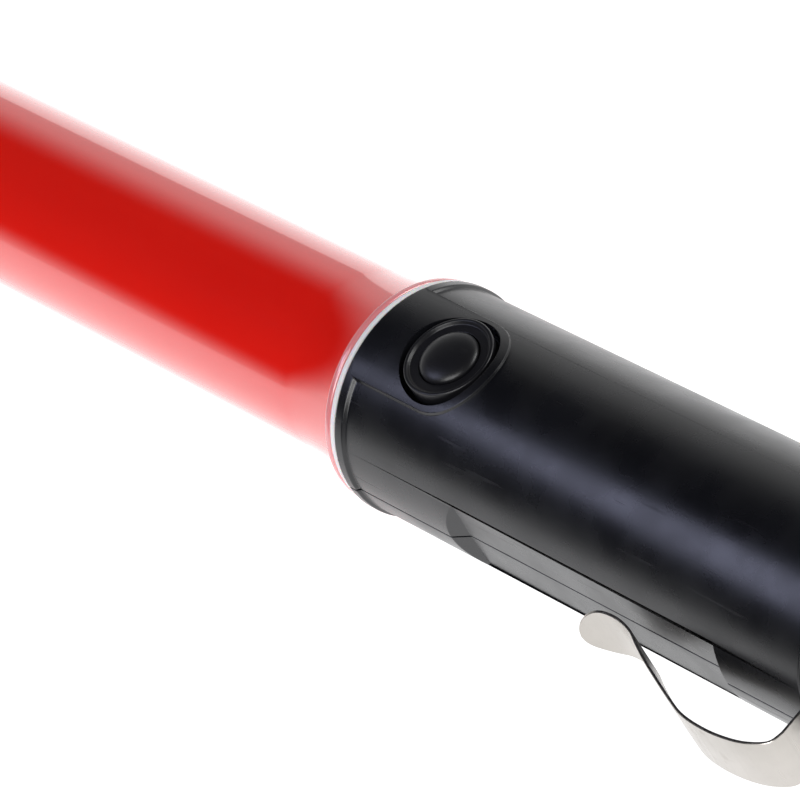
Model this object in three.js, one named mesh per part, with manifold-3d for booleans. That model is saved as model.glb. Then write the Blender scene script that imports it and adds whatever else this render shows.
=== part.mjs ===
// Traffic baton light: a red light tube on a round battery handle with a push button and a spring clip.
// Units are millimetres. The baton lies along X: the light tube points to -X and the end cap to +X, the
// button faces +Z and the clip is on the -Y side. The origin is the centre of the end cap's flat base.
// Every sub-part is modelled in handle coordinates, whose x is the distance behind the handle's front rim.
import * as THREE from 'three';
import { mergeVertices } from 'three/addons/utils/BufferGeometryUtils.js';
import Module from 'manifold-3d';

const wasm = await Module();
wasm.setup();

// ---- driving dimensions ----
const TOTAL_LENGTH = 540;
const HANDLE_LENGTH = 142.5;       // front rim to flat base, end cap included
const R_HANDLE = 19.75;
const SHELL_WALL = 2.2;
const SEAM_GAP = 0.25;             // between the two half shells
const GAP = 0.1;                   // between faces that only rest on each other
const JOINT_START = 108;           // rear shoulder of the shells
const CAP_FRONT = 109.6;           // front face of the end cap

const COLLAR_R = 20.3;             // raised front collar, level with the switch pad
const COLLAR_LENGTH = 2.6;
const PAD_CENTRE_X = 18;
const PAD_HALF_WIDTH = 9.8;
const FLAT_Y = 18;                 // distance of the finger flats from the axis
const FLAT_START = 28.5;
const FLAT_END = 89;
const RAMP_LENGTH = 3.2;

const BUTTON_X = 17.3;
const HOLE_R = 8.8;
const BEZEL_R = 7.9;
const BEZEL_TOP = 20;
const DOME_R = 5.2;
const DOME_TOP = 21;
const DOME_FOOT = 19.5;            // height where the button's round top starts
const BUTTON_TRAVEL = 0.8;
const BOARD_TOP = 9.2;
const BOARD_THICKNESS = 1.2;

const R_TUBE = 16.4;
const TUBE_WALL = 1.3;
const DIFFUSER_WALL = 0.5;
const TIP_CAP_WALL = 2;
const FLARE_START = -17;
const FLARE_END = -2.9;
const FLARE_END_R = 18.2;
const FLANGE_R = 19.9;
const FLANGE_X = -1.5;             // rear face of the tube's flange, on the seal
const FLANGE_THICKNESS = 1.2;
const SPIGOT_R = 16.6;
const SPIGOT_END = 7.4;
const SPIGOT_BORE = 14.6;
const TUBE_END = HANDLE_LENGTH - TOTAL_LENGTH + 12;

const R_CELL = 13.05;
const CELL_LENGTH = 50;
const CELL_START = 33.6;
const SLEEVE_R = 14.9;
const SLEEVE_BORE = 13.5;
const SLEEVE_START = 31.1;
const SLEEVE_END = 138;
const NECK_R = 17.6;
const NECK_BORE = 15.4;
const NECK_END = 112.5;
const GROOVE_START = 110.5;        // O-ring groove on the neck
const GROOVE_WIDTH = 1.2;
const GROOVE_R = 16.7;
const STOP_START = 95.4;           // ridge on the battery sleeve that the shells hold
const STOP_END = 101.3;
const RIB_BORE = 15.2;
const PLATE_X = 138.3;             // front face of the rear contact plate

const LED_COUNT = 9;
const LED_PITCH = 40;
const LED_BOARD_START = -366;
const LED_BOARD_END = 5;

const CLIP_WIDTH = 11.4;
const CLIP_THICKNESS = 0.5;
const CLIP_FOOT_Y = 17.6;
const CLIP_TIP_X = 60.6;
const CLIP_TIP_LENGTH = 4.9;       // rounded end, seen square to the strip
const FLUTE_COUNT = 12;

const BODY_SIDES = 32;             // facets round the handle, tube and end cap

// ---- finishes ----
const finish = (color, roughness, metalness = 0, opacity = 1) => new THREE.MeshStandardMaterial({
  color, roughness, metalness, opacity, transparent: opacity < 1,
});
const blackPlastic = () => finish(0x17181b, 0.38);
const redPlastic = () => finish(0xb41410, 0.12, 0, 0.85);
const rubber = () => finish(0x1d1e22, 0.6);
const steel = () => finish(0xb9b5ae, 0.3, 1);
const brass = () => finish(0xb08d45, 0.35, 1);
const aluminium = () => finish(0xb4b6b8, 0.4, 1);
const whitePlastic = () => finish(0xf0f0ee, 0.5);
const boardGreen = () => finish(0x1f5a35, 0.55);

// ---- shape helpers ----
const signedVolume = (geometry) => {
  const position = geometry.attributes.position;
  const index = geometry.index.array;
  const corner = [0, 1, 2].map(() => new THREE.Vector3());
  let volume = 0;
  for (let i = 0; i < index.length; i += 3) {
    corner.forEach((point, k) => point.fromBufferAttribute(position, index[i + k]));
    volume += corner[0].dot(corner[1].cross(corner[2])) / 6;
  }
  return volume;
};

// One closed body with shared vertices and its faces pointing out.
const closed = (geometry) => {
  const bare = geometry.clone();
  bare.deleteAttribute('normal');
  bare.deleteAttribute('uv');
  const merged = mergeVertices(bare, 1e-4);
  const index = [];
  for (let i = 0; i < merged.index.count; i += 3) {
    const [a, b, c] = [0, 1, 2].map((k) => merged.index.getX(i + k));
    if (a !== b && b !== c && c !== a) index.push(a, b, c);
  }
  merged.setIndex(index);
  if (signedVolume(merged) < 0) merged.setIndex(index.reverse());
  return merged;
};

const toSolid = (geometry) => {
  const body = closed(geometry);
  return new wasm.Manifold(new wasm.Mesh({
    numProp: 3,
    vertProperties: new Float32Array(body.attributes.position.array),
    triVerts: new Uint32Array(body.index.array),
  }));
};

const toGeometry = (solid) => {
  const mesh = solid.getMesh();
  const geometry = new THREE.BufferGeometry();
  geometry.setAttribute('position', new THREE.BufferAttribute(mesh.vertProperties, 3));
  geometry.setIndex(new THREE.BufferAttribute(mesh.triVerts, 1));
  return geometry;
};

// A solid turned about the X axis from [x, radius] points, closed on itself or ended on the axis.
const turned = (points, segments) => {
  const profile = points.map(([x, radius]) => new THREE.Vector2(radius, x));
  const onAxis = points[0][1] === 0 && points.at(-1)[1] === 0;
  if (!onAxis) profile.push(profile[0].clone());
  return closed(new THREE.LatheGeometry(profile, segments).rotateZ(-Math.PI / 2));
};

// The same profile turned about a line parallel to Z through x, y, with [z, radius] points.
const turnedAboutZ = (points, segments, x, y) => turned(points, segments)
  .rotateY(-Math.PI / 2)
  .translate(x, y, 0);

// An outline in the X-Y plane extruded from z = low to z = high.
const extrudedZ = (outline, low, high) => closed(
  new THREE.ExtrudeGeometry(outline, { depth: high - low, bevelEnabled: false, curveSegments: 24 })
    .translate(0, 0, low),
);

const polygon = (points) => new THREE.Shape(points.map(([x, y]) => new THREE.Vector2(x, y)));

const box = (low, high) => closed(
  new THREE.BoxGeometry(high[0] - low[0], high[1] - low[1], high[2] - low[2])
    .translate((low[0] + high[0]) / 2, (low[1] + high[1]) / 2, (low[2] + high[2]) / 2),
);

const wireAlong = (points, radius, steps) => {
  const path = new THREE.CatmullRomCurve3(points.map((point) => new THREE.Vector3(...point)));
  const section = polygon([...Array(8).keys()].map((k) => {
    const angle = (k * Math.PI) / 4;
    return [radius * Math.cos(angle), radius * Math.sin(angle)];
  }));
  return closed(new THREE.ExtrudeGeometry(section, { steps, bevelEnabled: false, extrudePath: path }));
};

const handle = new THREE.Group();
handle.position.x = -HANDLE_LENGTH;

const add = (name, geometry, material) => {
  const mesh = new THREE.Mesh(geometry, material);
  mesh.name = name;
  handle.add(mesh);
};

// ---- handle shells ----
const shellOutside = () => turned([
  [0, 0], [0, COLLAR_R - 0.4], [0.4, COLLAR_R], [COLLAR_LENGTH - 0.6, COLLAR_R], [COLLAR_LENGTH, R_HANDLE],
  [JOINT_START - 0.3, R_HANDLE], [JOINT_START, R_HANDLE - 0.3], [JOINT_START, NECK_R],
  [GROOVE_START, NECK_R], [GROOVE_START, GROOVE_R], [GROOVE_START + GROOVE_WIDTH, GROOVE_R],
  [GROOVE_START + GROOVE_WIDTH, NECK_R], [NECK_END, NECK_R], [NECK_END, 0],
], BODY_SIDES);

// Raised U-shaped pad around the button, open at the front rim.
const switchPad = () => {
  const outline = new THREE.Shape();
  outline.moveTo(1, -PAD_HALF_WIDTH);
  outline.lineTo(PAD_CENTRE_X, -PAD_HALF_WIDTH);
  outline.absarc(PAD_CENTRE_X, 0, PAD_HALF_WIDTH, -Math.PI / 2, Math.PI / 2);
  outline.lineTo(1, PAD_HALF_WIDTH);
  const band = turned([[1, 0], [1, COLLAR_R], [29, COLLAR_R], [29, 0]], BODY_SIDES);
  return toSolid(band).intersect(toSolid(extrudedZ(outline, 13, COLLAR_R + 1)));
};

const handleCavity = () => {
  const inner = R_HANDLE - SHELL_WALL;
  const bore = toSolid(turned([
    [-1, 0], [-1, 16.9], [3.3, 16.9], [3.3, 15.8], [4.9, 15.8], [4.9, 16.9], [8.3, 16.9], [8.3, inner],
    [36, inner], [36, RIB_BORE], [38, RIB_BORE], [38, inner], [STOP_START - 2.4, inner],
    [STOP_START - 2.4, RIB_BORE], [STOP_START - 0.2, RIB_BORE], [STOP_START - 0.2, NECK_R],
    [STOP_END + 0.2, NECK_R], [STOP_END + 0.2, NECK_BORE], [NECK_END + 1, NECK_BORE], [NECK_END + 1, 0],
  ], 32));
  const flatInside = FLAT_Y - SHELL_WALL;
  const slab = (side) => toSolid(box(
    [FLAT_START - 4.5, side > 0 ? flatInside : -R_HANDLE, -12],
    [FLAT_END + 1.5, side > 0 ? R_HANDLE : -flatInside, 12],
  ));
  return bore.subtract(slab(1)).subtract(slab(-1));
};

// Long finger flat with a sloped front ramp, cut on the side that faces +Y or -Y.
const fingerFlat = (side) => {
  const over = R_HANDLE + 1;
  const rampRun = RAMP_LENGTH * (over - FLAT_Y) / (R_HANDLE - FLAT_Y);
  return toSolid(extrudedZ(polygon([
    [FLAT_START - rampRun, side * over], [FLAT_START, side * FLAT_Y],
    [FLAT_END, side * FLAT_Y], [FLAT_END + 0.3, side * over],
  ]), -12, 12));
};

const boss = (x, y, radius, low, high) => toSolid(turnedAboutZ(
  [[low, 0], [low, radius], [high, radius], [high, 0]], 16, x, y,
));

const SHELL_SCREWS = [[22, 13.2], [22, -13.2]];
const BOARD_SCREWS = [[27.3, 8.3], [27.3, -8.3]];
const SUPPORT_POSTS = [[14.5, 7], [14.5, -7]];

// Recess in the rear shoulder that the clip's foot hooks into.
const clipRecess = () => toSolid(box(
  [JOINT_START - 2.1, -CLIP_FOOT_Y - 0.75, -CLIP_WIDTH / 2 - 0.4],
  [CAP_FRONT, -CLIP_FOOT_Y + 0.7, CLIP_WIDTH / 2 + 0.4],
));

const handleBody = () => toSolid(shellOutside())
  .add(switchPad())
  .subtract(fingerFlat(1))
  .subtract(fingerFlat(-1))
  .subtract(handleCavity())
  .subtract(clipRecess());

const halfSpace = (side) => toSolid(box(
  [-5, -25, side > 0 ? SEAM_GAP / 2 : -25], [130, 25, side > 0 ? 25 : -SEAM_GAP / 2],
));

const insideWall = () => toSolid(turned(
  [[1, 0], [1, R_HANDLE - 1], [90, R_HANDLE - 1], [90, 0]], 32,
));

const makeShells = () => {
  const body = handleBody();
  let top = body.intersect(halfSpace(1));
  let bottom = body.intersect(halfSpace(-1));
  const bosses = (list, radius, low, high) => list
    .map(([x, y]) => boss(x, y, radius, low, high))
    .reduce((all, one) => all.add(one));
  const buttonBoss = boss(BUTTON_X, 0, 9.7, 15, 19);
  top = top
    .add(bosses(SHELL_SCREWS, 2.3, SEAM_GAP / 2, 17).intersect(insideWall()))
    .add(bosses(BOARD_SCREWS, 1.8, BOARD_TOP + GAP, 17).intersect(insideWall()))
    .add(buttonBoss.intersect(insideWall()))
    .subtract(boss(BUTTON_X, 0, HOLE_R, 10, 22))
    .subtract(bosses(SHELL_SCREWS, 0.95, -1, 8))
    .subtract(bosses(BOARD_SCREWS, 0.75, 6, 14));
  bottom = bottom
    .add(bosses(SHELL_SCREWS, 2.3, -17, -SEAM_GAP / 2).intersect(insideWall()))
    .add(bosses(SUPPORT_POSTS, 1.6, -17, BOARD_TOP - BOARD_THICKNESS - GAP).intersect(insideWall()))
    .subtract(bosses(SHELL_SCREWS, 1.25, -20, 1))
    .subtract(bosses(SHELL_SCREWS, 2.4, -20, -9));
  return [top, bottom];
};

// Pan-head screw on a line parallel to Z; the head is at z = seat, on the side given by side.
const screwAboutZ = (x, y, seat, length, shank, head, side) => turnedAboutZ([
  [seat + side * length, 0], [seat + side * length, shank], [seat, shank], [seat, head],
  [seat - side * 1.2, head], [seat - side * 1.5, head * 0.7], [seat - side * 1.5, 0],
], 12, x, y);

const makeHandle = () => {
  const [top, bottom] = makeShells();
  add('handle_shell_top', toGeometry(top), blackPlastic());
  add('handle_shell_bottom', toGeometry(bottom), blackPlastic());
  SHELL_SCREWS.forEach(([x, y], i) => {
    add(`shell_screw_${i + 1}`, screwAboutZ(x, y, -9.1, 14, 0.9, 2.1, 1), steel());
  });
};

// ---- light tube ----
// The flare leaves the tube gently and steepens towards the flange, like the bell of a trumpet.
const flareRadius = (u) => R_TUBE + (FLARE_END_R - R_TUBE) * u ** 1.5;

const makeLightTube = () => {
  const flareSteps = 6;
  const flare = [...Array(flareSteps + 1).keys()].map((k) => {
    const u = k / flareSteps;
    return [FLARE_START + u * (FLARE_END - FLARE_START), flareRadius(u)];
  });
  const bore = R_TUBE - TUBE_WALL;
  add('light_tube', turned([
    [TUBE_END, R_TUBE], ...flare, [FLANGE_X - FLANGE_THICKNESS, FLANGE_R], [FLANGE_X, FLANGE_R],
    [FLANGE_X, SPIGOT_R], [3.1, SPIGOT_R], [3.1, 15.6],
    [5.1, 15.6], [5.1, SPIGOT_R], [SPIGOT_END, SPIGOT_R], [SPIGOT_END, SPIGOT_BORE], [-8, SPIGOT_BORE],
    [FLARE_START, bore], [TUBE_END, bore],
  ], BODY_SIDES), redPlastic());

  add('front_seal', turned([
    [FLANGE_X + GAP, 16.9], [FLANGE_X + GAP, 20.1], [-GAP, 20.1], [-GAP, 16.9],
  ], BODY_SIDES), whitePlastic());

  const plug = bore - 0.2;
  const plugBore = plug - TIP_CAP_WALL;
  const domeSteps = 5;
  const dome = [...Array(domeSteps + 1).keys()].map((k) => {
    const angle = (k / domeSteps) * (Math.PI / 2);
    return [TUBE_END - 4 - 8 * Math.sin(angle), k === domeSteps ? 0 : R_TUBE - 9 + 9 * Math.cos(angle)];
  });
  add('tube_tip_cap', turned([
    [TUBE_END - 9.6, 0], [TUBE_END - 9.6, 8], [TUBE_END - 7, 11], [TUBE_END - 4, plugBore],
    [TUBE_END + 10, plugBore], [TUBE_END + 10, plug],
    [TUBE_END - GAP, plug], [TUBE_END - GAP, R_TUBE], ...dome,
  ], BODY_SIDES), redPlastic());
};

// ---- light engine ----
const BOARD_HALF_WIDTH = 5.5;
const LED_BOARD_THICKNESS = 1;

const makeHolder = (name, start, end, radius) => {
  const slot = box(
    [start - 1, -BOARD_HALF_WIDTH - 0.2, -LED_BOARD_THICKNESS / 2 - 0.15],
    [end + 1, BOARD_HALF_WIDTH + 0.2, LED_BOARD_THICKNESS / 2 + 0.15],
  );
  const disc = turned([[start, 0], [start, radius], [end, radius], [end, 0]], 24);
  add(name, toGeometry(toSolid(disc).subtract(toSolid(slot))), whitePlastic());
};

const makeLightEngine = () => {
  const sleeveR = R_TUBE - TUBE_WALL - 0.3;
  const start = TUBE_END + 12;
  add('diffuser_sleeve', turned([
    [start, sleeveR - DIFFUSER_WALL], [start, sleeveR], [-24, sleeveR], [-24, sleeveR - DIFFUSER_WALL],
  ], 24), finish(0xf4e4e0, 0.6, 0, 0.9));
  add('led_board', box(
    [LED_BOARD_START, -BOARD_HALF_WIDTH, -LED_BOARD_THICKNESS / 2],
    [LED_BOARD_END, BOARD_HALF_WIDTH, LED_BOARD_THICKNESS / 2],
  ), finish(0xe8e8e2, 0.5));
  for (let i = 0; i < LED_COUNT; i += 1) {
    const foot = LED_BOARD_THICKNESS / 2 + GAP;
    add(`led_${i + 1}`, turnedAboutZ([
      [foot, 0], [foot, 2.9], [foot + 1, 2.9], [foot + 1, 2.5], [foot + 5.5, 2.5], [foot + 7.2, 1.9],
      [foot + 8, 0],
    ], 10, -12 - i * LED_PITCH, 0), finish(0xd03028, 0.15, 0, 0.9));
  }
  makeHolder('board_holder_tip', LED_BOARD_START + 2, LED_BOARD_START + 5, sleeveR - 1);
  makeHolder('board_holder_base', 0, 3, 14.3);
};

// ---- switch, button and control board ----
const makeButton = () => {
  add('button_bezel', turnedAboutZ([
    [14.1, 6.2], [14.1, 9.1], [14.9, 9.1], [14.9, BEZEL_R], [BEZEL_TOP - 0.3, BEZEL_R],
    [BEZEL_TOP, BEZEL_R - 0.3], [BEZEL_TOP, BEZEL_R - 0.6], [BEZEL_TOP - 0.6, BEZEL_R - 0.9],
    [BEZEL_TOP - 0.6, DOME_R + 0.2], [BEZEL_TOP - 1.4, DOME_R + 0.2], [BEZEL_TOP - 1.4, 6.2],
  ], 24, BUTTON_X, 0), rubber());
  const domeSteps = 4;
  const dome = [...Array(domeSteps).keys()].map((k) => {
    const angle = (k / domeSteps) * (Math.PI / 2);
    return [DOME_FOOT + (DOME_TOP - DOME_FOOT) * Math.sin(angle), DOME_R * Math.cos(angle)];
  });
  add('button_cap', turnedAboutZ([
    [15.4, 0], [15.4, 4.7], [13.1, 4.7], [13.1, 6.9], [13.9, 6.9], [13.9, DOME_R], ...dome, [DOME_TOP, 0],
  ], 24, BUTTON_X, 0), rubber());
};

const makeSwitch = () => {
  const half = 3;
  const bodyTop = BOARD_TOP + 3.6;
  const block = toSolid(box(
    [BUTTON_X - half, -half, BOARD_TOP + GAP], [BUTTON_X + half, half, bodyTop],
  ));
  const well = boss(BUTTON_X, 0, 1.9, bodyTop - BUTTON_TRAVEL - 1.1, bodyTop + 1);
  add('switch_body', toGeometry(block.subtract(well)), finish(0x2a2a2a, 0.5));
  add('switch_plunger', turnedAboutZ([
    [bodyTop - 0.8, 0], [bodyTop - 0.8, 1.7], [15.3, 1.7], [15.3, 0],
  ], 16, BUTTON_X, 0), whitePlastic());
};

const makeControlBoard = () => {
  const low = BOARD_TOP - BOARD_THICKNESS;
  const plate = toSolid(box([10.5, -10, low], [29.4, 10, BOARD_TOP]));
  const holes = BOARD_SCREWS.map(([x, y]) => boss(x, y, 1.05, low - 1, BOARD_TOP + 1));
  add('control_board', toGeometry(holes.reduce((rest, hole) => rest.subtract(hole), plate)), boardGreen());
  BOARD_SCREWS.forEach(([x, y], i) => {
    add(`board_screw_${i + 1}`, screwAboutZ(x, y, low - GAP, 4.8, 0.7, 1.6, 1), steel());
  });
  add('driver_chip', box([20, -3, low - 1.6], [25, 1, low - GAP]), finish(0x1a1a1c, 0.4));
  add('ballast_resistor', turned([
    [13, 0], [13, 1.1], [19, 1.1], [19, 0],
  ], 12).translate(0, -4, low - 1.3), finish(0xc9a877, 0.5));
};

const makeLeadWires = () => {
  const red = () => finish(0xb01818, 0.5);
  const black = () => finish(0x141414, 0.5);
  const tubeLead = (y) => wireAlong([
    [4.6, y, 1.2], [7, y, 1.8], [9.5, y, 4.6], [11.6, y, 7.3],
  ], 0.5, 6);
  add('tube_lead_red', tubeLead(3.2), red());
  add('tube_lead_black', tubeLead(-3.2 + 1), black());
  add('battery_lead_red', wireAlong([
    [29, 0, 0], [26.6, 0.6, 1.6], [26, 1.6, 4.6], [27.2, 3, 7.4],
  ], 0.5, 6), red());
  add('battery_lead_black', wireAlong([
    [34, -11, -11.2], [30.6, -11, -11.2], [27.6, -8.6, -6], [26.6, -4.6, 0.6], [27.2, -3, 7.4],
  ], 0.5, 9), black());
};

// ---- battery compartment ----
const makeBatteryCompartment = () => {
  add('battery_sleeve', turned([
    [SLEEVE_START, SLEEVE_BORE], [SLEEVE_START, SLEEVE_R], [STOP_START, SLEEVE_R], [STOP_START, 17.3],
    [STOP_END, 17.3], [STOP_END, SLEEVE_R], [SLEEVE_END, SLEEVE_R], [SLEEVE_END, SLEEVE_BORE],
  ], 32), aluminium());
  add('contact_carrier', turned([
    [30.2, 1.4], [30.2, 14.6], [SLEEVE_START - GAP, 14.6], [SLEEVE_START - GAP, 13.2], [32.9, 13.2],
    [32.9, 1.4],
  ], 24), finish(0x2b2c2e, 0.5));
  add('positive_contact', turned([
    [29.3, 0], [29.3, 2.2], [30.1, 2.2], [30.1, 1.2], [33, 1.2], [33, 4], [CELL_START - GAP, 4],
    [CELL_START - GAP, 0],
  ], 16), brass());
  for (let i = 0; i < 2; i += 1) {
    const start = CELL_START + i * (CELL_LENGTH + GAP);
    add(`battery_${i + 1}`, turned([
      [start, 0], [start, 3.1], [start + 1.8, 3.1], [start + 1.8, R_CELL - 0.8],
      [start + 2.6, R_CELL], [start + CELL_LENGTH - 0.6, R_CELL],
      [start + CELL_LENGTH, R_CELL - 0.6], [start + CELL_LENGTH, 0],
    ], 24), finish(0x2f4a63, 0.35, 0.4));
  }
};

// ---- end cap ----
const makeSpring = () => {
  const wire = 0.45;
  const turns = 3.5;
  const steps = 32;
  const start = CELL_START + 2 * (CELL_LENGTH + GAP) + wire;
  const rise = PLATE_X - GAP - wire - start;
  const points = [...Array(steps + 1).keys()].map((k) => {
    const t = k / steps;
    const angle = turns * 2 * Math.PI * t;
    const radius = 5 + 4 * t;
    return [start + rise * t, radius * Math.cos(angle), radius * Math.sin(angle)];
  });
  return wireAlong(points, wire, steps);
};

const makeEndCap = () => {
  const floor = PLATE_X + 0.8;
  const plain = toSolid(turned([
    [floor, 0], [floor, 15.2], [NECK_END + 0.5, 15.2], [NECK_END + 0.5, 18], [CAP_FRONT, 18],
    [CAP_FRONT, R_HANDLE - 0.3], [CAP_FRONT + 0.3, R_HANDLE], [HANDLE_LENGTH - 1.2, R_HANDLE],
    [HANDLE_LENGTH - 0.35, R_HANDLE - 0.35], [HANDLE_LENGTH, R_HANDLE - 1.2], [HANDLE_LENGTH, 0],
  ], BODY_SIDES));
  const flute = turned([[CAP_FRONT + 8, 0], [CAP_FRONT + 8, 2.4], [138, 2.4], [138, 0]], 12);
  const fluted = [...Array(FLUTE_COUNT).keys()].reduce((rest, k) => {
    const angle = ((k + 0.5) * 2 * Math.PI) / FLUTE_COUNT;
    const reach = R_HANDLE + 1.2;
    const cutter = flute.clone().translate(0, reach * Math.cos(angle), reach * Math.sin(angle));
    return rest.subtract(toSolid(cutter));
  }, plain);
  add('end_cap', toGeometry(fluted), blackPlastic());
  add('rear_contact', turned([
    [PLATE_X, 0], [PLATE_X, 14.6], [PLATE_X + 0.6, 14.6], [PLATE_X + 0.6, 0],
  ], 24), steel());
  add('battery_spring', makeSpring(), steel());
  const ring = new THREE.TorusGeometry(17.3, 0.5, 6, 32)
    .rotateY(Math.PI / 2)
    .translate(GROOVE_START + GROOVE_WIDTH / 2, 0, 0);
  add('cap_o_ring', closed(ring), rubber());
};

// ---- pocket clip ----
// Side outline of the bent strip: [x, distance from the axis] along its middle, foot to tip.
const clipMiddle = () => {
  const point = ([x, reach]) => new THREE.Vector2(x, -reach);
  const riser = JOINT_START + 1;
  const foot = [[JOINT_START - 1.5, CLIP_FOOT_Y], [riser - 0.9, CLIP_FOOT_Y]].map(point);
  const bend = new THREE.QuadraticBezierCurve(
    foot[1], point([riser, CLIP_FOOT_Y]), point([riser, CLIP_FOOT_Y + 1]),
  );
  const bow = new THREE.SplineCurve([
    [riser, 24.6], [108.2, 26.9], [105.5, 28.5], [102, 29.5], [97.2, 30], [92, 29.7], [88, 28.5],
    [80, 25.3], [75.7, 23.3], [72.6, 21.7], [69.4, 20.9], [66.5, 20.9], [64.3, 21.5], [62.3, 22.6],
    [CLIP_TIP_X, 24.1],
  ].map(point));
  return [foot[0], ...bend.getPoints(4), ...bow.getPoints(30)];
};

const makeClip = () => {
  const middle = clipMiddle();
  const side = (offset) => middle.map((here, i) => {
    const along = middle[Math.min(i + 1, middle.length - 1)].clone().sub(middle[Math.max(i - 1, 0)]);
    return new THREE.Vector2(-along.y, along.x).normalize().multiplyScalar(offset).add(here);
  });
  const outline = new THREE.Shape([...side(CLIP_THICKNESS / 2), ...side(-CLIP_THICKNESS / 2).reverse()]);
  const half = CLIP_WIDTH / 2;
  const strip = toSolid(extrudedZ(outline, -half, half));
  const tipCentre = CLIP_TIP_X + CLIP_TIP_LENGTH;
  const plan = new THREE.Shape();
  plan.moveTo(CAP_FRONT + 1, half);
  plan.lineTo(tipCentre, half);
  plan.absellipse(tipCentre, 0, CLIP_TIP_LENGTH, half, Math.PI / 2, (3 * Math.PI) / 2);
  plan.lineTo(CAP_FRONT + 1, -half);
  const planCutter = extrudedZ(plan, -35, -15).rotateX(-Math.PI / 2);
  add('pocket_clip', toGeometry(strip.intersect(toSolid(planCutter))), steel());
};

makeHandle();
makeLightTube();
makeLightEngine();
makeButton();
makeSwitch();
makeControlBoard();
makeLeadWires();
makeBatteryCompartment();
makeEndCap();
makeClip();

const baton = new THREE.Group();
baton.add(handle);
export default baton;
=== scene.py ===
"""Traffic baton light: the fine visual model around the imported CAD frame.

Lengths are millimetres in handle coordinates; place() turns them into metres of the frame.
s is the distance behind the handle's front rim, so the light tube lies at negative s.
"""

import math

import bmesh
import bpy
from mathutils import Matrix, Vector


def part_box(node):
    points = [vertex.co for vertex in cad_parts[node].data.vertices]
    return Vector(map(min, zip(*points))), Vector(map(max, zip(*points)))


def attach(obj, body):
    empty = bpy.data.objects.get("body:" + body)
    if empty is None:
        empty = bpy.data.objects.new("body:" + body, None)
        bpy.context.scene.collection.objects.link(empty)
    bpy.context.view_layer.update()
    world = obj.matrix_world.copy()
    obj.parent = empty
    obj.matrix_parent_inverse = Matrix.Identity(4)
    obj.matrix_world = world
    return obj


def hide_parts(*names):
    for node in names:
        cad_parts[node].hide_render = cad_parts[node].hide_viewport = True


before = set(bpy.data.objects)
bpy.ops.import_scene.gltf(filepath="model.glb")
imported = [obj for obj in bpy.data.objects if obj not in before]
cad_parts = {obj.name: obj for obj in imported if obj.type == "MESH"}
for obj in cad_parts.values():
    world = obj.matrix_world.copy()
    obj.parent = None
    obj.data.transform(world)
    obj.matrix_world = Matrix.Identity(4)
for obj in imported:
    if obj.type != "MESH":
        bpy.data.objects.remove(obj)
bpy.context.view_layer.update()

MM = 0.001
RIM_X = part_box("handle_shell_top")[0].x
R_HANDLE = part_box("end_cap")[1].z / MM
COLLAR_R = -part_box("handle_shell_bottom")[0].z / MM
BASE_S = (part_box("end_cap")[1].x - RIM_X) / MM
CAP_FRONT = (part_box("end_cap")[0].x - RIM_X) / MM
TUBE_TIP_S = (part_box("tube_tip_cap")[0].x - RIM_X) / MM
R_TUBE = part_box("tube_tip_cap")[1].z / MM

COLLAR_END = 2.6
PAD_CENTRE_S = 18
PAD_HALF_WIDTH = 9.8
FLAT_Y = 18.0
FLAT_START = 28.5
FLAT_END = 89
RAMP_LENGTH = 3.2
JOINT_S = 108
NECK_R = 17.6
NECK_END = 112.5
BUTTON_S = 17.3
HOLE_R = 8.8
BEZEL_R = 7.9
BEZEL_TOP = 20.0
DOME_R = 5.2
DOME_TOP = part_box("button_cap")[1].z / MM
DOME_FOOT = 19.5
FLANGE_R = 19.9
SEAM_HALF = 0.125
FLANGE_FRONT = -2.7
TUBE_END_S = TUBE_TIP_S + 12
TUBE_WALL = 1.3
FLARE_START = -17
FLARE_END = -2.9
FLARE_END_R = 18.2
FLARE_POWER = 1.7
SEAL_BORE_R = 17.0
SEAL_R = 20.05
SPIGOT_R = 16.6
SPIGOT_RING_R = 15.6
SPIGOT_BORE = 14.6
PLUG_GAP = 0.2
TIP_WALL = 2
CLIP_HALF_WIDTH = 5.7
CLIP_THICKNESS = 0.5
AXIS_R = 1e-6


# ---------------------------------------------------------------- mesh helpers
def place(s, y, z):
    return (RIM_X + s * MM, y * MM, z * MM)


def new_object(name, verts, faces, sharp_angle=32):
    mesh = bpy.data.meshes.new(name)
    mesh.from_pydata(verts, [], faces)
    obj = bpy.data.objects.new(name, mesh)
    bpy.context.scene.collection.objects.link(obj)
    tidy_mesh(obj)
    shade(obj, sharp_angle)
    return obj


def tidy_mesh(obj):
    work = bmesh.new()
    work.from_mesh(obj.data)
    bmesh.ops.remove_doubles(work, verts=work.verts, dist=1e-7)
    bmesh.ops.recalc_face_normals(work, faces=work.faces)
    work.to_mesh(obj.data)
    work.free()


def shade(obj, sharp_angle):
    obj.data.polygons.foreach_set("use_smooth", [True] * len(obj.data.polygons))
    obj.data.set_sharp_from_angle(angle=math.radians(sharp_angle))


def filleted(points, closed=False, steps=5):
    """The outline with each corner (a, b, radius) replaced by an arc of that radius."""
    out = []
    count = len(points)
    for i, point in enumerate(points):
        radius = point[2] if len(point) == 3 else 0
        if radius == 0 or (not closed and i in (0, count - 1)):
            out.append(point[:2])
            continue
        here = Vector(point[:2])
        before = Vector(points[i - 1][:2]) - here
        after = Vector(points[(i + 1) % count][:2]) - here
        half = before.angle(after) / 2
        reach = min(radius / math.tan(half), before.length * 0.48, after.length * 0.48)
        radius = reach * math.tan(half)
        inward = (before.normalized() + after.normalized()).normalized()
        centre = here + inward * (radius / math.sin(half))
        start = here + before.normalized() * reach - centre
        turn = start.angle_signed(here + after.normalized() * reach - centre)
        for k in range(steps + 1):
            arm = Matrix.Rotation(-turn * k / steps, 2) @ start
            out.append(tuple(centre + arm))
    return out


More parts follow.
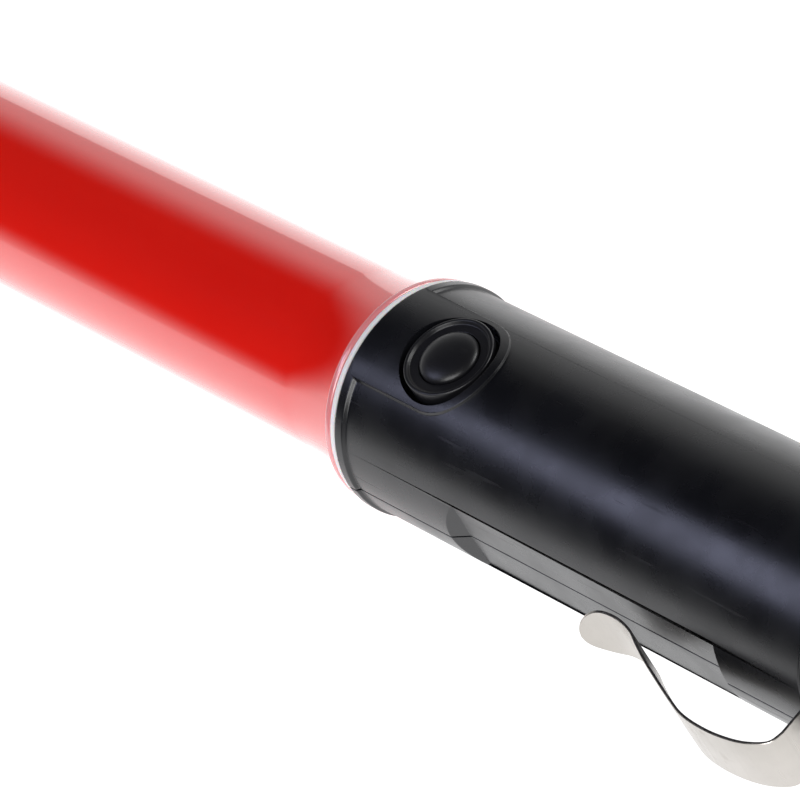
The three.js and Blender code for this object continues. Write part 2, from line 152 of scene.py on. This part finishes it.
def lathe(name, profile, segments=160, closed=False, sharp_angle=32):
    """Turned about the baton's axis from (s, r) points."""
    return turned(name, profile, segments, closed, sharp_angle,
                  lambda a, r, t: place(a, -r * math.sin(t), r * math.cos(t)))


def lathe_up(name, profile, s, segments=128, closed=False, sharp_angle=32):
    """Turned about the line parallel to Z through s, from (z, r) points."""
    return turned(name, profile, segments, closed, sharp_angle,
                  lambda a, r, t: place(s + r * math.cos(t), r * math.sin(t), a))


def bridged(rings, segments):
    """Faces between neighbouring rings of vertices; a ring on the axis is a single vertex."""
    faces = []
    for one, two in zip(rings, rings[1:]):
        for k in range(segments):
            corners = [one[k % len(one)], one[(k + 1) % len(one)],
                       two[(k + 1) % len(two)], two[k % len(two)]]
            face = list(dict.fromkeys(corners))
            if len(face) > 2:
                faces.append(face)
    return faces


def turned(name, profile, segments, closed, sharp_angle, where):
    verts, rings = [], []
    for a, r in profile:
        if r < AXIS_R:
            rings.append([len(verts)])
            verts.append(where(a, 0, 0))
        else:
            rings.append(list(range(len(verts), len(verts) + segments)))
            verts += [where(a, r, 2 * math.pi * k / segments) for k in range(segments)]
    if closed:
        rings.append(rings[0])
    return new_object(name, verts, bridged(rings, segments), sharp_angle)


def prism(name, outline, low, high, where=place):
    """An outline of (s, y) points between the heights low and high."""
    count = len(outline)
    verts = [where(a, b, low) for a, b in outline] + [where(a, b, high) for a, b in outline]
    faces = [list(range(count))[::-1], list(range(count, 2 * count))]
    faces += [[k, (k + 1) % count, count + (k + 1) % count, count + k] for k in range(count)]
    return new_object(name, verts, faces)


def block(name, low, high):
    outline = [(low[0], low[1]), (high[0], low[1]), (high[0], high[1]), (low[0], high[1])]
    return prism(name, outline, low[2], high[2])


def apply_modifiers(obj):
    depsgraph = bpy.context.evaluated_depsgraph_get()
    mesh = bpy.data.meshes.new_from_object(obj.evaluated_get(depsgraph))
    obj.modifiers.clear()
    obj.data = mesh


def boolean(obj, cutter, operation="DIFFERENCE"):
    modifier = obj.modifiers.new("cut", "BOOLEAN")
    modifier.object = cutter
    modifier.operation = operation
    modifier.solver = "EXACT"
    apply_modifiers(obj)
    bpy.data.objects.remove(cutter)
    return obj


def soften(obj, width, angle=28, segments=2):
    """Rounds every edge sharper than angle."""
    modifier = obj.modifiers.new("round", "BEVEL")
    modifier.width = width * MM
    modifier.segments = segments
    modifier.limit_method = "ANGLE"
    modifier.angle_limit = math.radians(angle)
    modifier.use_clamp_overlap = False
    modifier.miter_outer = "MITER_ARC"
    apply_modifiers(obj)
    shade(obj, 30)
    weighted = obj.modifiers.new("normals", "WEIGHTED_NORMAL")
    weighted.keep_sharp = True
    weighted.weight = 80
    return obj


def copy_of(obj, name):
    twin = obj.copy()
    twin.data = obj.data.copy()
    twin.name = name
    bpy.context.scene.collection.objects.link(twin)
    return twin


# ---------------------------------------------------------------- materials
class Nodes:
    """A material's node tree with short ways to add and join nodes."""

    def __init__(self, name):
        self.material = bpy.data.materials.new(name)
        self.material.use_nodes = True
        self.tree = self.material.node_tree
        self.shader = self.tree.nodes["Principled BSDF"]

    def add(self, kind, **inputs):
        node = self.tree.nodes.new(kind)
        for key, value in inputs.items():
            node.inputs[key.replace("_", " ")].default_value = value
        return node

    def join(self, output, target):
        self.tree.links.new(output, target)

    def place(self, scale):
        coordinates = self.add("ShaderNodeTexCoord")
        mapping = self.add("ShaderNodeMapping")
        mapping.inputs["Scale"].default_value = scale
        self.join(coordinates.outputs["Object"], mapping.inputs["Vector"])
        return mapping.outputs["Vector"]

    def noise(self, scale, stretch=(1, 1, 1), detail=4, roughness=0.5):
        node = self.add("ShaderNodeTexNoise", Scale=scale, Detail=detail, Roughness=roughness)
        self.join(self.place(stretch), node.inputs["Vector"])
        return node.outputs["Fac"]

    def ramp(self, source, low, high, start=0.35, end=0.65):
        """Maps source, from start to end, to numbers or colours from low to high."""
        node = self.add("ShaderNodeMapRange")
        if isinstance(low, tuple):
            node = self.tree.nodes.new("ShaderNodeValToRGB")
            node.color_ramp.elements[0].position = start
            node.color_ramp.elements[1].position = end
            node.color_ramp.elements[0].color = (*low, 1)
            node.color_ramp.elements[1].color = (*high, 1)
            self.join(source, node.inputs["Fac"])
            return node.outputs["Color"]
        node.inputs["From Min"].default_value = start
        node.inputs["From Max"].default_value = end
        node.inputs["To Min"].default_value = low
        node.inputs["To Max"].default_value = high
        self.join(source, node.inputs["Value"])
        return node.outputs["Result"]

    def math(self, operation, one, two):
        node = self.tree.nodes.new("ShaderNodeMath")
        node.operation = operation
        for value, socket in ((one, node.inputs[0]), (two, node.inputs[1])):
            if isinstance(value, (int, float)):
                socket.default_value = value
            else:
                self.join(value, socket)
        return node.outputs["Value"]

    def bump(self, height, strength, distance, under=None):
        node = self.add("ShaderNodeBump", Strength=strength, Distance=distance)
        self.join(height, node.inputs["Height"])
        if under is not None:
            self.join(under, node.inputs["Normal"])
        return node.outputs["Normal"]

    def set(self, **values):
        for key, value in values.items():
            self.shader.inputs[key.replace("_", " ")].default_value = value

    def drive(self, **sources):
        for key, source in sources.items():
            self.join(source, self.shader.inputs[key.replace("_", " ")])


def moulded(name, dark, light, rough, grain=2600, grain_depth=0.02, **values):
    """Moulded plastic or rubber: slow colour drift, uneven gloss, fine skin, faint scratches."""
    n = Nodes(name)
    drift = n.noise(55, detail=5)
    n.drive(Base_Color=n.ramp(drift, dark, light))
    smudge = n.ramp(n.noise(120, detail=6), rough[0], rough[1])
    scratch = n.ramp(n.noise(900, (0.06, 1, 1), detail=2), 0, 0.10, 0.66, 0.74)
    n.drive(Roughness=n.math("ADD", smudge, scratch))
    skin = n.bump(n.noise(grain, detail=3), 0.35, grain_depth * MM)
    n.drive(Normal=n.bump(n.noise(60, detail=2), 0.12, 0.05 * MM, skin))
    n.set(**values)
    return n.material


def metal(name, dark, light, rough, stretch, **values):
    """Bare metal: streaks of the brushing direction, spots and uneven gloss."""
    n = Nodes(name)
    streak = n.noise(1400, stretch, detail=4, roughness=0.7)
    n.drive(Base_Color=n.ramp(n.noise(70, detail=6), dark, light))
    spots = n.ramp(n.noise(420, detail=3), 0, 0.18, 0.6, 0.72)
    n.drive(Roughness=n.math("ADD", n.ramp(streak, rough[0], rough[1]), spots))
    n.drive(Normal=n.bump(streak, 0.25, 0.012 * MM))
    n.set(Metallic=1.0, **values)
    return n.material


BODY_RED_DARK = (0.84, 0.0130, 0.0085)
BODY_RED_LIGHT = (0.98, 0.0220, 0.0125)
# Painted highlight: a pale pink colour on the flange rim stands in for the bright reflection at the
# flange's end.
RIM_PAINTED_HIGHLIGHT_COLOUR = (0.80, 0.26, 0.27, 1)
RIM_PAINTED_HIGHLIGHT_LEAD = 0.25
RIM_PAINTED_HIGHLIGHT_BLEND = 0.3


def glossy_red(name):
    """Polished red light-tube plastic under a hard clear skin, with a pale pink painted highlight over
    the flange's thin rim.
    """
    n = Nodes(name)
    body = n.ramp(n.noise(18, (0.25, 1, 1), detail=4), BODY_RED_DARK, BODY_RED_LIGHT)
    # Painted highlight: from just before the flange front onwards, the red turns pale pink to stand in
    # for the flange's bright reflection.
    rim = n.add("ShaderNodeMix")
    rim.data_type = "RGBA"
    along = n.add("ShaderNodeSeparateXYZ")
    n.join(n.place((1, 1, 1)), along.inputs["Vector"])
    edge = RIM_X + (FLANGE_FRONT - RIM_PAINTED_HIGHLIGHT_LEAD) * MM
    n.join(n.ramp(along.outputs["X"], 0.0, 1.0, edge, edge + RIM_PAINTED_HIGHLIGHT_BLEND * MM), rim.inputs["Factor"])
    n.join(body, rim.inputs["A"])
    rim.inputs["B"].default_value = RIM_PAINTED_HIGHLIGHT_COLOUR
    n.drive(Base_Color=rim.outputs["Result"])
    n.drive(Roughness=n.ramp(n.noise(140, (0.3, 1, 1), detail=6), 0.05, 0.10))
    ripple = n.bump(n.noise(38, (0.2, 1, 1), detail=2), 0.10, 0.05 * MM)
    n.drive(Normal=n.bump(n.noise(1100, (0.1, 1, 1), detail=2), 0.05, 0.004 * MM, ripple))
    n.set(IOR=1.5, Specular_IOR_Level=0.5, Coat_Weight=1.0, Coat_Roughness=0.03, Coat_IOR=1.8,
          Subsurface_Weight=0.15, Subsurface_Scale=0.004, Subsurface_Radius=(1.0, 0.12, 0.08))
    return n.material


def clear_red(name, dark, light, rough):
    """Transparent red plastic with a faint flow pattern and handling marks."""
    n = Nodes(name)
    n.drive(Base_Color=n.ramp(n.noise(25, (0.2, 1, 1), detail=3), dark, light))
    n.drive(Roughness=n.ramp(n.noise(160, (0.3, 1, 1), detail=5), rough[0], rough[1]))
    n.drive(Normal=n.bump(n.noise(45, (0.25, 1, 1), detail=2), 0.1, 0.05 * MM))
    n.set(Transmission_Weight=1.0, IOR=1.46)
    return n.material


BLACK = moulded("black_abs", (0.0040, 0.0042, 0.0055), (0.0062, 0.0065, 0.0085), (0.24, 0.32),
                Specular_IOR_Level=0.62)
RUBBER = moulded("button_rubber", (0.006, 0.006, 0.0075), (0.010, 0.010, 0.012), (0.29, 0.38),
                 grain=3400, grain_depth=0.015)
# White seal whose slight pink tint is painted bounce light from the red tube.
SEAL_WITH_PAINTED_BOUNCE = moulded("seal_white_painted_bounce", (0.80, 0.74, 0.75), (0.90, 0.86, 0.87), (0.22, 0.34),
               Subsurface_Weight=0.25, Subsurface_Scale=0.002)
WHITE = moulded("white_plastic", (0.74, 0.74, 0.72), (0.83, 0.83, 0.81), (0.38, 0.5))
DARK = moulded("dark_plastic", (0.015, 0.015, 0.017), (0.026, 0.026, 0.028), (0.42, 0.55))
RED_WIRE = moulded("wire_red", (0.36, 0.008, 0.008), (0.46, 0.014, 0.012), (0.35, 0.45))
BLACK_WIRE = moulded("wire_black", (0.010, 0.010, 0.010), (0.018, 0.018, 0.018), (0.35, 0.45))
BOARD = moulded("board_green", (0.010, 0.085, 0.030), (0.018, 0.12, 0.042), (0.32, 0.45))
RESISTOR = moulded("resistor_lacquer", (0.50, 0.33, 0.15), (0.60, 0.42, 0.21), (0.3, 0.4))
CELL = moulded("cell_jacket", (0.022, 0.045, 0.10), (0.034, 0.062, 0.13), (0.28, 0.4), Metallic=0.4)
RING = moulded("ring_rubber", (0.010, 0.010, 0.010), (0.018, 0.018, 0.018), (0.5, 0.6))
CLIP = metal("clip_steel", (0.50, 0.475, 0.44), (0.59, 0.56, 0.525), (0.26, 0.36), (1, 1, 0.03))
SCREW = metal("screw_steel", (0.50, 0.50, 0.51), (0.60, 0.60, 0.61), (0.25, 0.38), (1, 1, 1))
BRASS = metal("contact_brass", (0.55, 0.38, 0.15), (0.65, 0.46, 0.2), (0.25, 0.4), (1, 1, 0.2))
CONTACT = metal("contact_steel", (0.52, 0.52, 0.52), (0.62, 0.62, 0.61), (0.25, 0.38), (1, 1, 0.2))
SLEEVE = metal("sleeve_aluminium", (0.52, 0.53, 0.54), (0.6, 0.61, 0.62), (0.32, 0.45), (0.04, 1, 1))
TUBE = glossy_red("tube_red")
DIFFUSER = moulded("diffuser_white", (0.78, 0.72, 0.70), (0.86, 0.80, 0.78), (0.4, 0.5))
LENS = clear_red("led_lens", (0.85, 0.08, 0.05), (0.9, 0.10, 0.06), (0.05, 0.1))


def dress(obj, body, material, slot_name, *nodes):
    obj.data.materials.clear()
    obj.data.materials.append(material)
    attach(obj, body)
    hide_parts(*nodes)
    return obj


# ---------------------------------------------------------------- handle shells
SHELL_BORE = 15.8
TUBE_SEAT = 16.9
SHELL_SEGMENTS = 192
PAD_START = 1.2
SCREW_S = 22
SCREW_Y = 13.2
SCREW_HEAD_R = 2.4
SCREW_SHANK_R = 1.25
SCREW_HEAD_TOP = -9.0
SCREW_SHANK_TOP = -4


def handle_solid():
    outside = filleted([
        (0, 17.0), (0, COLLAR_R, 0.55), (COLLAR_END - 0.5, COLLAR_R, 0.5),
        (COLLAR_END + 0.05, R_HANDLE, 0.5),
        (JOINT_S, R_HANDLE, 0.35), (JOINT_S, NECK_R, 0.15), (110.5, NECK_R, 0.1), (110.5, 16.7),
        (111.7, 16.7), (111.7, NECK_R, 0.1), (NECK_END, NECK_R, 0.3), (NECK_END, 15.5),
    ])
    inside = [
        (101.5, 15.5), (101.5, NECK_R), (95.2, NECK_R), (95.2, 15.2), (93, 15.2), (93, 17.3),
        (91, 17.3), (91, SHELL_BORE), (8.4, SHELL_BORE), (8.4, TUBE_SEAT), (4.9, TUBE_SEAT),
        (4.9, SHELL_BORE), (3.3, SHELL_BORE), (3.3, TUBE_SEAT), (0.4, TUBE_SEAT),
    ]
    return lathe("handle", outside + inside, segments=SHELL_SEGMENTS, closed=True)


def pad_outline():
    half = PAD_HALF_WIDTH
    arc = [(PAD_CENTRE_S + half * math.cos(a), half * math.sin(a))
           for a in (math.radians(-90 + 5 * k) for k in range(37))]
    return [(PAD_START, -half)] + arc + [(PAD_START, half)]


def switch_pad():
    """Raised pad round the button, level with the front collar."""
    outline = [(1, 16.5), (1, COLLAR_R), (29, COLLAR_R), (29, 16.5)]
    band = lathe("pad", outline, segments=SHELL_SEGMENTS, closed=True)
    return boolean(band, prism("pad_cut", pad_outline(), 12, 22), "INTERSECT")


def finger_flat(side):
    over = R_HANDLE + 1
    run = RAMP_LENGTH * (over - FLAT_Y) / (R_HANDLE - FLAT_Y)
    outline = [(FLAT_START - run, side * over), (FLAT_START, side * FLAT_Y),
               (FLAT_END, side * FLAT_Y), (FLAT_END + 0.9, side * over)]
    return prism("flat", outline, -12, 12)


def screw_bore(y, radius, top):
    outline = [(SCREW_S + radius * math.cos(a), y + radius * math.sin(a))
               for a in (math.radians(7.5 * k) for k in range(48))]
    return prism("bore", outline, -20, top)


def make_shells():
    body = boolean(handle_solid(), switch_pad(), "UNION")
    for side in (1, -1):
        boolean(body, finger_flat(side))
    boolean(body, block("recess", (105.9, -18.35, -6.1), (111, -16.9, 6.1)))
    hole = lathe_up("hole", [(10, 0), (10, HOLE_R), (24, HOLE_R), (24, 0)], BUTTON_S, 96)
    boolean(body, hole)
    lower = copy_of(body, "shell_bottom")
    body.name = "shell_top"
    boolean(body, block("below", (-5, -25, -25), (130, 25, SEAM_HALF)))
    boolean(lower, block("above", (-5, -25, -SEAM_HALF), (130, 25, 25)))
    for y in (SCREW_Y, -SCREW_Y):
        boolean(lower, screw_bore(y, SCREW_HEAD_R, SCREW_HEAD_TOP))
        boolean(lower, screw_bore(y, SCREW_SHANK_R, SCREW_SHANK_TOP))
    for obj, node in ((body, "handle_shell_top"), (lower, "handle_shell_bottom")):
        tidy_mesh(obj)
        soften(obj, 0.12)
        dress(obj, "handle", BLACK, "black_plastic", node)


# ---------------------------------------------------------------- light tube
def make_light_tube():
    steps = 40
    flare = [(FLARE_START + u * (FLARE_END - FLARE_START),
              R_TUBE + (FLARE_END_R - R_TUBE) * u ** FLARE_POWER)
             for u in (k / steps for k in range(steps + 1))]
    bore = R_TUBE - TUBE_WALL
    rest = filleted([
        flare[-2], (*flare[-1], 0.3), (FLANGE_FRONT, FLANGE_R, 0.3), (-1.5, FLANGE_R, 0.45),
        (-1.5, SPIGOT_R), (3.1, SPIGOT_R), (3.1, SPIGOT_RING_R), (5.1, SPIGOT_RING_R), (5.1, SPIGOT_R),
        (7.4, SPIGOT_R), (7.4, SPIGOT_BORE), (-8, SPIGOT_BORE), (FLARE_START, bore), (TUBE_END_S, bore),
    ])
    outside = [(TUBE_END_S, R_TUBE)] + flare[:-2]
    tube = lathe("tube_wall", outside + rest, closed=True)
    dress(tube, "handle", TUBE, "red_tube", "light_tube")


def make_seal():
    ring = lathe("seal_ring", filleted([
        (-1.35, SEAL_BORE_R), (-1.35, SEAL_R, 0.5), (-0.15, SEAL_R, 0.3), (-0.15, SEAL_BORE_R),
    ], closed=True), closed=True)
    dress(ring, "handle", SEAL_WITH_PAINTED_BOUNCE, "white_seal", "front_seal")


def make_tip_cap():
    """Hollow plug that closes the far end of the tube under a rounded front."""
    front = TUBE_END_S
    dome = [(front - 4 - 8 * math.sin(a), R_TUBE - 9 + 9 * math.cos(a))
            for a in (math.radians(5 * k) for k in range(18))] + [(TUBE_TIP_S, 0)]
    plug = R_TUBE - TUBE_WALL - PLUG_GAP
    inside = plug - TIP_WALL
    cap = lathe("tip_cap", filleted([
        (front - 9.6, 0), (front - 9.6, 8), (front - 7, 11), (front - 4, inside), (front + 10, inside),
        (front + 10, plug, 0.4), (front - 0.1, plug), (front - 0.1, R_TUBE, 0.15), (front - 4, R_TUBE),
    ]) + dome)
    dress(cap, "handle", TUBE, "red_tube", "tube_tip_cap")


# ---------------------------------------------------------------- button
def make_button():
    floor = BEZEL_TOP - 0.6
    bezel = lathe_up("bezel_ring", filleted([
        (14.1, 6.2), (14.1, 9.1), (14.9, 9.1), (14.9, BEZEL_R), (BEZEL_TOP, BEZEL_R, 0.35),
        (BEZEL_TOP, BEZEL_R - 0.6, 0.25), (floor, BEZEL_R - 0.95, 0.3), (floor, DOME_R + 0.2, 0.15),
        (floor - 0.8, DOME_R + 0.2), (floor - 0.8, 6.2),
    ], closed=True), BUTTON_S, closed=True)
    dress(bezel, "handle", RUBBER, "button_rubber", "button_bezel")
    rise = DOME_TOP - DOME_FOOT
    dome = [(DOME_FOOT + rise * math.sin(a), DOME_R * math.cos(a) ** 0.85)
            for a in (math.radians(3 * k) for k in range(30))]
    cap = lathe_up("button_dome", filleted([
        (15.4, 0), (15.4, 4.7), (13.1, 4.7), (13.1, 6.9, 0.2), (13.9, 6.9, 0.2), (13.9, DOME_R),
    ]) + dome + [(DOME_TOP, 0)], BUTTON_S)
    dress(cap, "button", RUBBER, "button_rubber", "button_cap")


# ---------------------------------------------------------------- clip
RISER_S = JOINT_S + 1
CLIP_FOOT_Y = 17.6
CLIP_BEND_R = 0.9
CLIP_EDGE = 0.1
CLIP_TIP_S = 60.6
CLIP_TIP_LENGTH = 4.9
CLIP_BOW = [(RISER_S, 24.6), (108.2, 26.9), (105.5, 28.5), (102, 29.5), (97.2, 30), (92, 29.7),
            (88, 28.5), (80, 25.3), (75.7, 23.3), (72.6, 21.7), (69.4, 20.9), (66.5, 20.9),
            (64.3, 21.5), (62.3, 22.6), (CLIP_TIP_S, 24.1)]


def catmull(points, per_span):
    """A smooth curve through the points, with per_span steps between neighbours."""
    padded = [points[0]] + points + [points[-1]]
    out = []
    for i in range(1, len(padded) - 2):
        p0, p1, p2, p3 = (Vector(p) for p in padded[i - 1:i + 3])
        for k in range(per_span):
            t = k / per_span
            out.append(0.5 * (2 * p1 + (p2 - p0) * t + (2 * p0 - 5 * p1 + 4 * p2 - p3) * t * t
                              + (3 * p1 - p0 - 3 * p2 + p3) * t ** 3))
    return out + [Vector(points[-1])]


def make_clip():
    foot = [Vector((JOINT_S - 1.5, CLIP_FOOT_Y)), Vector((RISER_S - CLIP_BEND_R, CLIP_FOOT_Y))]
    bend = [Vector((RISER_S - CLIP_BEND_R + CLIP_BEND_R * math.sin(a),
                    CLIP_FOOT_Y + CLIP_BEND_R - CLIP_BEND_R * math.cos(a)))
            for a in (math.radians(15 * k) for k in range(1, 7))]
    path = foot + bend + catmull(CLIP_BOW, 8)
    verts, faces = [], []
    half_t = CLIP_THICKNESS / 2
    edge = CLIP_EDGE
    across = 10
    for i, here in enumerate(path):
        along = path[min(i + 1, len(path) - 1)] - path[max(i - 1, 0)]
        normal = Vector((-along.y, along.x)).normalized()
        short = max(0, (CLIP_TIP_S + CLIP_TIP_LENGTH - here.x) / CLIP_TIP_LENGTH)
        half = CLIP_HALF_WIDTH
        if i > len(path) // 2:
            half *= math.sqrt(max(0.0004, 1 - min(1, short) ** 2))
        half = max(half, edge * 1.5)
        inner = [(-half + edge + (2 * half - 2 * edge) * k / across) for k in range(across + 1)]
        section = [(w, half_t) for w in inner] + [(half, half_t - edge), (half, -half_t + edge)]
        section += [(w, -half_t) for w in reversed(inner)]
        section += [(-half, -half_t + edge), (-half, half_t - edge)]
        for w, t in section:
            p = here + normal * t
            verts.append(place(p.x, -p.y, w))
    ring = len(section)
    for i in range(len(path) - 1):
        for k in range(ring):
            faces.append([i * ring + k, i * ring + (k + 1) % ring,
                          (i + 1) * ring + (k + 1) % ring, (i + 1) * ring + k])
    faces += [list(range(ring))[::-1], list(range((len(path) - 1) * ring, len(path) * ring))]
    clip = new_object("belt_clip", verts, faces, 30)
    dress(clip, "clip", CLIP, "clip_steel", "pocket_clip")


# ---------------------------------------------------------------- end cap
FLUTE_COUNT = 12
FLUTE_HALF_ANGLE = math.radians(7.2)
FLUTE_DEPTH = 1.15
FLUTE_RUN_OUT = 1.6
FLUTE_FRONT_MARGIN = 7
FLUTE_REAR_MARGIN = 4
CAP_STATION_STEP = 0.4
CAP_SEGMENTS = 288
CAP_RECESS_R = 18.0
CAP_BORE_R = 15.2


def fluted_radius(s, r, angle):
    """The radius of the cap's skin at one point: flutes are cut only where the skin is at full width."""
    if r < R_HANDLE - 0.01:
        return r
    pitch = 2 * math.pi / FLUTE_COUNT
    off = abs((angle % pitch) - pitch / 2)
    if off > FLUTE_HALF_ANGLE:
        return r
    across = math.sqrt(max(0, 1 - (off / FLUTE_HALF_ANGLE) ** 2))
    ends = min(1, max(0, (s - CAP_FRONT - FLUTE_FRONT_MARGIN) / FLUTE_RUN_OUT),
               max(0, (BASE_S - FLUTE_REAR_MARGIN - s) / FLUTE_RUN_OUT))
    return r - FLUTE_DEPTH * across * ends * ends * (3 - 2 * ends)


def cap_rings(verts, stations):
    """Adds one ring of vertices for each (s, r) station and gives back their numbers."""
    rings = []
    for s, r in stations:
        if r < AXIS_R:
            rings.append([len(verts)])
            verts.append(place(s, 0, 0))
            continue
        rings.append(list(range(len(verts), len(verts) + CAP_SEGMENTS)))
        for k in range(CAP_SEGMENTS):
            angle = 2 * math.pi * k / CAP_SEGMENTS
            q = fluted_radius(s, r, angle)
            verts.append(place(s, q * math.sin(angle), q * math.cos(angle)))
    return rings


def make_end_cap():
    front = filleted([
        (CAP_FRONT, CAP_RECESS_R), (CAP_FRONT, R_HANDLE, 0.3), (CAP_FRONT + 1.2, R_HANDLE),
    ])[:-1]
    count = int((BASE_S - 7 - CAP_FRONT) / CAP_STATION_STEP)
    middle = [(CAP_FRONT + 4 + CAP_STATION_STEP * k, R_HANDLE) for k in range(count)]
    foot = filleted([(BASE_S - 3, R_HANDLE), (BASE_S, R_HANDLE, 1.3), (BASE_S, 12)])
    outer = front + middle + foot + [(BASE_S, 0)]
    inner = [(113, CAP_RECESS_R), (113, CAP_BORE_R), (139.1, CAP_BORE_R), (139.1, 0)]
    verts = []
    rings = cap_rings(verts, outer)
    inner_rings = cap_rings(verts, inner)
    faces = bridged(rings, CAP_SEGMENTS) + bridged([rings[0]] + inner_rings, CAP_SEGMENTS)
    cap = new_object("screw_cap", verts, faces, 40)
    dress(cap, "end_cap", BLACK, "black_plastic", "end_cap")


# ---------------------------------------------------------------- CAD nodes that stay
CAD_FINISH = {
    "led_board": WHITE, "diffuser_sleeve": DIFFUSER, "board_holder_tip": WHITE,
    "board_holder_base": WHITE, "switch_plunger": WHITE,
    "switch_body": DARK, "driver_chip": DARK, "contact_carrier": DARK, "control_board": BOARD,
    "ballast_resistor": RESISTOR, "tube_lead_red": RED_WIRE, "battery_lead_red": RED_WIRE,
    "tube_lead_black": BLACK_WIRE, "battery_lead_black": BLACK_WIRE, "battery_sleeve": SLEEVE,
    "positive_contact": BRASS, "battery_1": CELL, "battery_2": CELL, "cap_o_ring": RING,
    "rear_contact": CONTACT, "battery_spring": CONTACT, "shell_screw_1": SCREW, "shell_screw_2": SCREW,
    "board_screw_1": SCREW, "board_screw_2": SCREW,
}


def finish_cad_nodes():
    """Nodes that the visual model replaces are not in the table and stay as they are."""
    for name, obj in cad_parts.items():
        finish = LENS if name.startswith("led_") and name != "led_board" else CAD_FINISH.get(name)
        if finish is None:
            continue
        obj.data.materials.clear()
        obj.data.materials.append(finish)


# ---------------------------------------------------------------- stage, lights, camera
FLOOR_HALF = 6
FLOOR_GAP = 0.05
FLOOR_GLOW = 1.05
CEILING_TILT = -0.357
WALL_FADE_START, WALL_FADE_END = -0.05, 0.50
SIDE_SPAN = 0.35
CLIP_SIDE_GLOW, FAR_SIDE_GLOW = 1.9, 0.65
SOFTBOX_BLUE = (0.69, 0.72, 1.0)


def make_stage():
    half = FLOOR_HALF
    corners = [(-half, -half, 0), (half, -half, 0), (half, half, 0), (-half, half, 0)]
    floor = new_object("floor", corners, [[0, 1, 2, 3]])
    floor.location.z = -(COLLAR_R + FLOOR_GAP) * MM
    paper = Nodes("floor_paper")
    paper.drive(Base_Color=paper.ramp(paper.noise(3), (0.27, 0.27, 0.27), (0.29, 0.29, 0.29)))
    paper.set(Roughness=0.9, Emission_Color=(1, 1, 1, 1), Emission_Strength=FLOOR_GLOW)
    floor.data.materials.append(paper.material)


def area_light(name, aim_s, direction, distance, size, power, colour=(1, 1, 1)):
    """A rectangular light aimed at the axis at aim_s, lying in direction from it; metres and watts."""
    data = bpy.data.lights.new(name, "AREA")
    data.shape = "RECTANGLE"
    data.size, data.size_y = size
    data.energy = power
    data.color = colour
    lamp = bpy.data.objects.new(name, data)
    bpy.context.scene.collection.objects.link(lamp)
    centre = Vector(place(aim_s, 0, 0))
    away = Vector(direction).normalized()
    lamp.location = centre + away * distance
    lamp.rotation_mode = "QUATERNION"
    lamp.rotation_quaternion = away.to_track_quat("Z", "Y")


def map_range(tree, source, start, end, low, high):
    node = tree.nodes.new("ShaderNodeMapRange")
    for socket, value in (("From Min", start), ("From Max", end), ("To Min", low), ("To Max", high)):
        node.inputs[socket].default_value = value
    tree.links.new(source, node.inputs["Value"])
    return node


def make_world():
    """Pale walls that fade into a dark, slanted ceiling and are brighter on the clip's side."""
    world = bpy.data.worlds.new("studio")
    bpy.context.scene.world = world
    world.use_nodes = True
    tree = world.node_tree
    background = tree.nodes["Background"]
    background.inputs["Color"].default_value = (1, 1, 1, 1)
    coordinates = tree.nodes.new("ShaderNodeTexCoord")
    height = tree.nodes.new("ShaderNodeVectorMath")
    height.operation = "DOT_PRODUCT"
    height.inputs[1].default_value = (0, CEILING_TILT, 1)
    tree.links.new(coordinates.outputs["Generated"], height.inputs[0])
    walls = map_range(tree, height.outputs["Value"], WALL_FADE_START, WALL_FADE_END, 1.0, 0.0)
    walls.interpolation_type = "SMOOTHSTEP"
    split = tree.nodes.new("ShaderNodeSeparateXYZ")
    tree.links.new(coordinates.outputs["Generated"], split.inputs["Vector"])
    side = map_range(tree, split.outputs["Y"], -SIDE_SPAN, SIDE_SPAN, CLIP_SIDE_GLOW, FAR_SIDE_GLOW)
    product = tree.nodes.new("ShaderNodeMath")
    product.operation = "MULTIPLY"
    tree.links.new(walls.outputs["Result"], product.inputs[0])
    tree.links.new(side.outputs["Result"], product.inputs[1])
    tree.links.new(product.outputs["Value"], background.inputs["Strength"])


AZIMUTH, ELEVATION, ROLL = (math.radians(a) for a in (69.0, 42.58, -33.52))
CAMERA_DISTANCE = 0.911
CAMERA_TARGET = Vector((-0.1476, -0.0021, 0))
FOCAL_IN_FRAMES = 6.89025
SENSOR = 36
SHIFT = (0.0005, -0.0047)


def make_camera():
    data = bpy.data.cameras.new("camera")
    data.sensor_width = SENSOR
    data.lens = FOCAL_IN_FRAMES * SENSOR
    data.shift_x, data.shift_y = SHIFT
    data.clip_start, data.clip_end = 0.05, 50
    camera = bpy.data.objects.new("camera", data)
    bpy.context.scene.collection.objects.link(camera)
    back = Vector((math.sin(AZIMUTH) * math.cos(ELEVATION),
                   -math.cos(AZIMUTH) * math.cos(ELEVATION), math.sin(ELEVATION)))
    right = (-back).cross(Vector((0, 0, 1))).normalized()
    up = right.cross(-back)
    turned_right = math.cos(ROLL) * right + math.sin(ROLL) * up
    turned_up = -math.sin(ROLL) * right + math.cos(ROLL) * up
    rotation = Matrix((turned_right, turned_up, back)).transposed()
    position = Matrix.Translation(CAMERA_TARGET + back * CAMERA_DISTANCE)
    camera.matrix_world = position @ rotation.to_4x4()
    bpy.context.scene.camera = camera


make_shells()
make_light_tube()
make_seal()
make_tip_cap()
make_button()
make_clip()
make_end_cap()
finish_cad_nodes()
make_stage()
make_world()
area_light("overhead", 60, (0.45, -0.75, 0.9), 1.6, (1.1, 1.1), 19)
area_light("back_fill", -60, (0.6, 0.8, 0.35), 1.6, (0.8, 0.8), 9)
area_light("softbox", 225, (-0.687, -0.368, 0.627), 0.7, (0.28, 0.22), 0.62, SOFTBOX_BLUE)
make_camera()
bpy.context.scene.view_settings.view_transform = "Standard"

bpy.context.view_layer.update()
